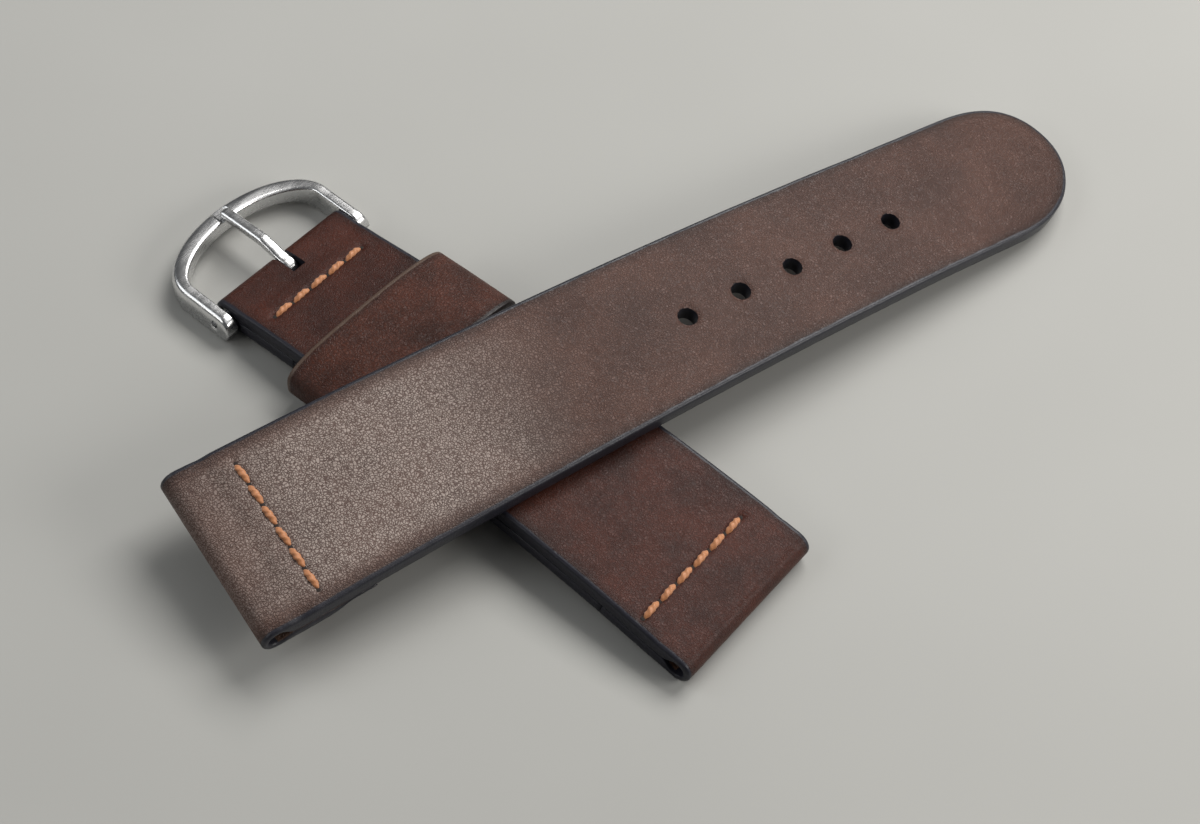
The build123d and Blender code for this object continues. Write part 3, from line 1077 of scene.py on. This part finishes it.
# Painted sheen: a grey highlight colour, lighter on the grain peaks and fading at the rims,
# painted over the half of the tail next to its lug end
paintedSheenSettings = {
    "color": (0.37, 0.305, 0.27, 1),
    "cloudScale": 0.5,
    "cloudReach": 1.6,
    "rise": (2.0, 3.9, 0.3, 1.0),
    "fall": (7.3, 4.7),
    "rim": (0.7, 3.2, 0.15, 1.0),
    "grain": (0.5, 1.35, 0.12, 0.85),
}


def addPaintedSheen(t, flat, edge, height, color):
    s = paintedSheenSettings
    run = t.node("ShaderNodeSeparateXYZ", {0: flat}).outputs["X"]
    cloud = t.noise(flat, s["cloudScale"], 3.0).outputs["Fac"]
    run = t.math("ADD", run, t.math("MULTIPLY", cloud, s["cloudReach"]))
    paintedSheen = t.math("MULTIPLY", t.span(run, *s["rise"]), t.span(run, *s["fall"]))
    paintedSheen = t.math("MULTIPLY", paintedSheen, t.span(edge, *s["rim"]))
    paintedSheen = t.math("MULTIPLY", paintedSheen, t.span(height, *s["grain"]))
    return t.mix(paintedSheen, color, s["color"])


def leatherMaterial(name, look):
    s = leatherShared
    material, t, shader, place = newMaterial(name)
    flat = t.node("ShaderNodeUVMap", uv_map="flat").outputs["UV"]
    edge = t.node("ShaderNodeAttribute", attribute_name="edgeDist").outputs["Fac"]
    flesh = t.node("ShaderNodeAttribute", attribute_name="flesh").outputs["Fac"]
    grain = t.node("ShaderNodeGroup", node_tree=groups["grain"])
    mottle = t.node("ShaderNodeGroup", node_tree=groups["mottle"])
    for group, label, value in (
        (grain, "Vector", flat),
        (grain, "Cells", look["cells"]),
        (grain, "Creases", look["creases"]),
        (mottle, "Vector", flat),
        (mottle, "Dark", look["dark"]),
        (mottle, "Light", look["light"]),
        (mottle, "Patches", look["patches"]),
    ):
        t.put(group.inputs[label], value)
    grainHeight = grain.outputs["Height"]

    # edge paint, with a wandering border
    wander = t.noise(place, s["wanderScale"], 4.0).outputs["Fac"]
    reach = t.math("ADD", s["paintReach"], t.math("MULTIPLY", wander, s["paintWander"]))
    paint = t.span(t.math("SUBTRACT", edge, reach), *s["paintFade"])
    grit = t.noise(place, s["paintScale"], 5.0, 0.7).outputs["Fac"]
    paintColor = t.mix(grit, *s["paint"])
    # on the keeper the rim goes from near-black paint to a painted highlight on the edge towards
    # the buckle
    if look.get("rimHighlight"):
        side = t.node("ShaderNodeSeparateXYZ", {0: flat}).outputs["Y"]
        paintColor = t.mix(t.span(side, *s["highlightSide"]), *s["rimHighlight"])
        paint = t.math("MULTIPLY", paint, s["rimCover"])

    shade = t.span(edge, *s["rimShade"])
    grey = t.node("ShaderNodeCombineColor", {0: shade, 1: shade, 2: shade}).outputs[0]
    face = t.mix(1.0, mottle.outputs["Color"], grey, "MULTIPLY")
    face = t.mix(t.math("MULTIPLY", grain.outputs["Pits"], s["pitShare"]), face, s["pit"])
    # the tail gets a painted grey sheen over the half next to its lug end
    if look.get("paintedSheen"):
        face = addPaintedSheen(t, flat, edge, grainHeight, face)
    fibres = t.noise(place, s["fleshScale"], 6.0, 0.8).outputs["Fac"]
    face = t.mix(flesh, face, t.mix(fibres, *s["flesh"]))
    t.put(shader.inputs["Base Color"], t.mix(paint, face, paintColor))

    unpainted = t.math("SUBTRACT", 1.0, paint)
    rough = t.span(grainHeight, *s["grainHeights"], *look["rough"])
    rough = t.math("ADD", rough, t.math("MULTIPLY", mottle.outputs["Wear"], s["wearRough"]))
    painted = t.math("MULTIPLY", s["paintRough"], paint)
    rough = t.math("ADD", t.math("MULTIPLY", rough, unpainted), painted)
    t.put(shader.inputs["Roughness"], rough)
    shader.inputs["Specular IOR Level"].default_value = look["shine"]
    shader.inputs["Coat Weight"].default_value = s["coat"]
    shader.inputs["Coat Roughness"].default_value = s["coatRough"]
    bare = t.math("SUBTRACT", 1.0, t.math("MULTIPLY", paint, s["paintSmooth"]))
    gritty = t.math("MULTIPLY", grit, t.math("MULTIPLY", paint, s["paintGrit"]))
    height = t.math("ADD", t.math("MULTIPLY", grainHeight, bare), gritty)
    t.bump(shader, height, look["bump"], s["bumpDepth"])
    return material


threadLook = {
    "fibre": ((0.24, 0.075, 0.026, 1), (0.68, 0.3, 0.12, 1)),
    "fibreScale": 3200.0,
    "stain": (0.36, 0.13, 0.05, 1),
    "stainScale": 700.0,
    "stainShare": 0.3,
    "rough": 0.5,
    "sheen": 0.25,
    "bump": (0.4, 0.00006),
}


def threadMaterial():
    s = threadLook
    material, t, shader, place = newMaterial("copperThread")
    fibre = t.noise(place, s["fibreScale"], 5.0, 0.7).outputs["Fac"]
    stain = t.noise(place, s["stainScale"], 2.0).outputs["Fac"]
    color = t.mix(fibre, *s["fibre"])
    color = t.mix(t.math("MULTIPLY", stain, s["stainShare"]), color, s["stain"])
    t.put(shader.inputs["Base Color"], color)
    shader.inputs["Roughness"].default_value = s["rough"]
    shader.inputs["Sheen Weight"].default_value = s["sheen"]
    t.bump(shader, fibre, *s["bump"])
    return material


# A dull surface whose colour wanders between two tones
def plainMaterial(name, scale, detail, dark, light, rough, shine=0.5):
    material, t, shader, place = newMaterial(name)
    cloud = t.noise(place, scale, detail).outputs["Fac"]
    t.put(shader.inputs["Base Color"], t.mix(cloud, dark, light))
    shader.inputs["Roughness"].default_value = rough
    shader.inputs["Specular IOR Level"].default_value = shine
    return material


steelShared = {"smearShade": 0.86, "scratches": (0.25, 0.8), "bump": (0.12, 0.00004)}


def steelMaterial(name, color, rough, stretch):
    s = steelShared
    material, t, shader, place = newMaterial(name)
    wear = t.node("ShaderNodeGroup", {"Vector": place}, node_tree=groups["metal"])
    wear.inputs["Stretch"].default_value = stretch
    smeared = tuple(s["smearShade"] * c for c in color[:3]) + (1,)
    t.put(shader.inputs["Base Color"], t.mix(wear.outputs["Smear"], smeared, color))
    shader.inputs["Metallic"].default_value = 1.0
    t.put(shader.inputs["Roughness"], t.span(wear.outputs["Scratch"], *s["scratches"], *rough))
    t.bump(shader, wear.outputs["Scratch"], *s["bump"])
    return material


materials = {
    "tail": leatherMaterial("tailLeather", leatherLooks["tail"]),
    "short": leatherMaterial("buckleStrapLeather", leatherLooks["short"]),
    "keeper": leatherMaterial("keeperLeather", leatherLooks["keeper"]),
    "lining": leatherMaterial("liningLeather", leatherLooks["lining"]),
    "thread": threadMaterial(),
    # near-black painted shade for the blobs in the awl holes
    "holeShade": plainMaterial(
        "holeShadePaint", 2600.0, 4.0, (0.006, 0.004, 0.003, 1), (0.022, 0.012, 0.008, 1), 0.85
    ),
    "steel": steelMaterial("buckleSteel", (0.74, 0.74, 0.74, 1), (0.2, 0.34), (1.0, 0.15, 1.0)),
    "bar": steelMaterial("barSteel", (0.62, 0.62, 0.64, 1), (0.25, 0.4), (1.0, 0.05, 1.0)),
}


def dress(obj, body, slotName, replaced, *keys):
    for key in keys:
        obj.data.materials.append(materials[key])
    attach(obj, body)
    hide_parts(replaced)


def dressStitches(name, arch, settings, row, where, body, replaced):
    stitches = buildStitches(name, arch, settings[row], settings["stitchSlant"], where)
    dress(stitches, body, "thread_copper", replaced, "thread", "holeShade")


tailFrame = tailMatrix()
tailLeather = buildTailLeather()
print("tail leather", len(tailLeather.data.polygons))
punches = bmesh.new()
for run in tailSettings["punchRuns"]:
    spot = archFrame(tailArch, run, tailSettings["punchOffset"], 0)
    depth, sides = tailSettings["punchDepth"], tailSettings["punchSides"]
    addRound(punches, spot, tailSettings["punchRadius"], depth, sides)
cutObject(tailLeather, punches)
tailLeather.data.transform(Matrix.Scale(mm, 4) @ tailFrame @ Matrix.Scale(1 / mm, 4))
dress(tailLeather, "tail_strap", "leather_tail", "tail_strap_leather", "tail")
dressStitches(
    "tailStitches", tailArch, tailSettings, "stitchRow", tailFrame,
    "tail_strap", "tail_strap_lug_thread",
)

shortLeather = buildShortLeather()
block = shortSettings["notchBlock"]
notchSize = Matrix.Diagonal((block, 2 * shortSettings["notchHalf"], block, 1))
notchX = barX - shortSettings["notchLength"] + block / 2
notch = bmesh.new()
bmesh.ops.create_cube(notch, size=1, matrix=Matrix.Translation((notchX, 0, barZ)) @ notchSize)
cutObject(shortLeather, notch)
print("buckle strap leather", len(shortLeather.data.polygons))
dress(shortLeather, "buckle_strap", "leather_dark", "buckle_strap_leather", "short")
dress(buildLining(), "buckle_strap", "leather_lining", "buckle_strap_lining", "lining")
for name, row, replaced in (
    ("lugStitches", "lugStitchRow", "buckle_strap_lug_thread"),
    ("endStitches", "endStitchRow", "buckle_strap_end_thread"),
):
    still = Matrix.Identity(4)
    dressStitches(name, shortArch, shortSettings, row, still, "buckle_strap", replaced)

dress(buildKeeper(), "keeper", "leather_keeper", "keeper_band", "keeper")
print("keeper")
dress(buildFrame(), "frame", "steel_buckle", "buckle_frame", "steel")
dress(buildTang(), "tang", "steel_buckle", "buckle_tang", "steel")
print("buckle")

for node, key in (
    ("keeper_thread", "thread"),
    ("spring_bar_tube", "bar"),
    ("spring_bar_tip_near", "bar"),
    ("spring_bar_tip_far", "bar"),
    ("spring_bar_spring", "bar"),
):
    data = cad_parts[node].data
    data.materials.clear()
    data.materials.append(materials[key])

# Floor, lights, world and camera
floorHalf = 3000
floorMesh = bmesh.new()
bmesh.ops.create_grid(floorMesh, x_segments=1, y_segments=1, size=floorHalf)
floor = makeObject("floor", floorMesh)
floor.data.transform(Matrix.Translation((0, 0, floorZ * mm)))
floor.data.materials.append(plainMaterial(
    "paleFloor", 14.0, 3.0, (0.355, 0.353, 0.335, 1), (0.41, 0.408, 0.389, 1), 0.7, 0.2
))

# Each light is name, place and size in metres, power in watts, colour
lightSettings = (
    ("back", (0.07, -0.36, 0.42), (0.42, 0.3), 3.3, (1.0, 0.985, 0.965)),
    ("left", (0.36, 0.16, 0.3), (0.25, 0.25), 0.4, (0.95, 0.98, 1.0)),
    ("key", (-0.2, -0.1, 0.6), (0.35, 0.35), 0.2, (1.0, 1.0, 1.0)),
    ("low", (-0.3, -0.17, 0.19), (0.22, 0.14), 0.9, (1.0, 0.98, 0.95)),
    ("near", (0.2, 0.34, 0.24), (0.16, 0.12), 0.25, (1.0, 0.99, 0.97)),
)
lightTarget = Vector((0.028, -0.012, 0.0))
for name, position, size, power, color in lightSettings:
    data = bpy.data.lights.new(name, "AREA")
    data.shape = "RECTANGLE"
    data.size, data.size_y = size
    data.energy = power
    data.color = color
    light = bpy.data.objects.new(name, data)
    light.location = position
    light.rotation_euler = (lightTarget - Vector(position)).to_track_quat("-Z", "Y").to_euler()
    bpy.context.scene.collection.objects.link(light)

worldSettings = {"Color": (0.93, 0.96, 1.0, 1), "Strength": 0.08}
world = bpy.data.worlds.new("studio")
bpy.context.scene.world = world
world.use_nodes = True
for key, value in worldSettings.items():
    world.node_tree.nodes["Background"].inputs[key].default_value = value

cameraSettings = {
    "eye": (-46.51, 105.67, 188.69),
    "right": (-0.84206, -0.53938, 0.0),
    "up": (0.43685, -0.68199, 0.5866),
    "roll": 8.49,
    "lens": 60.773,
    "sensor": 36,
    "clipStart": 0.01,
}
roll = math.radians(cameraSettings["roll"])
right = Vector(cameraSettings["right"])
up = Vector(cameraSettings["up"])
rolledRight = (right * math.cos(roll) + up * math.sin(roll)).normalized()
rolledUp = (up * math.cos(roll) - right * math.sin(roll)).normalized()
cameraData = bpy.data.cameras.new("camera")
cameraData.lens = cameraSettings["lens"]
cameraData.sensor_width = cameraSettings["sensor"]
cameraData.sensor_fit = "HORIZONTAL"
cameraData.clip_start = cameraSettings["clipStart"]
camera = bpy.data.objects.new("camera", cameraData)
matrix = Matrix((rolledRight, rolledUp, rolledRight.cross(rolledUp))).transposed().to_4x4()
matrix.translation = Vector(cameraSettings["eye"]) * mm
camera.matrix_world = matrix
bpy.context.scene.collection.objects.link(camera)
bpy.context.scene.camera = camera
bpy.context.scene.view_settings.view_transform = "Standard"
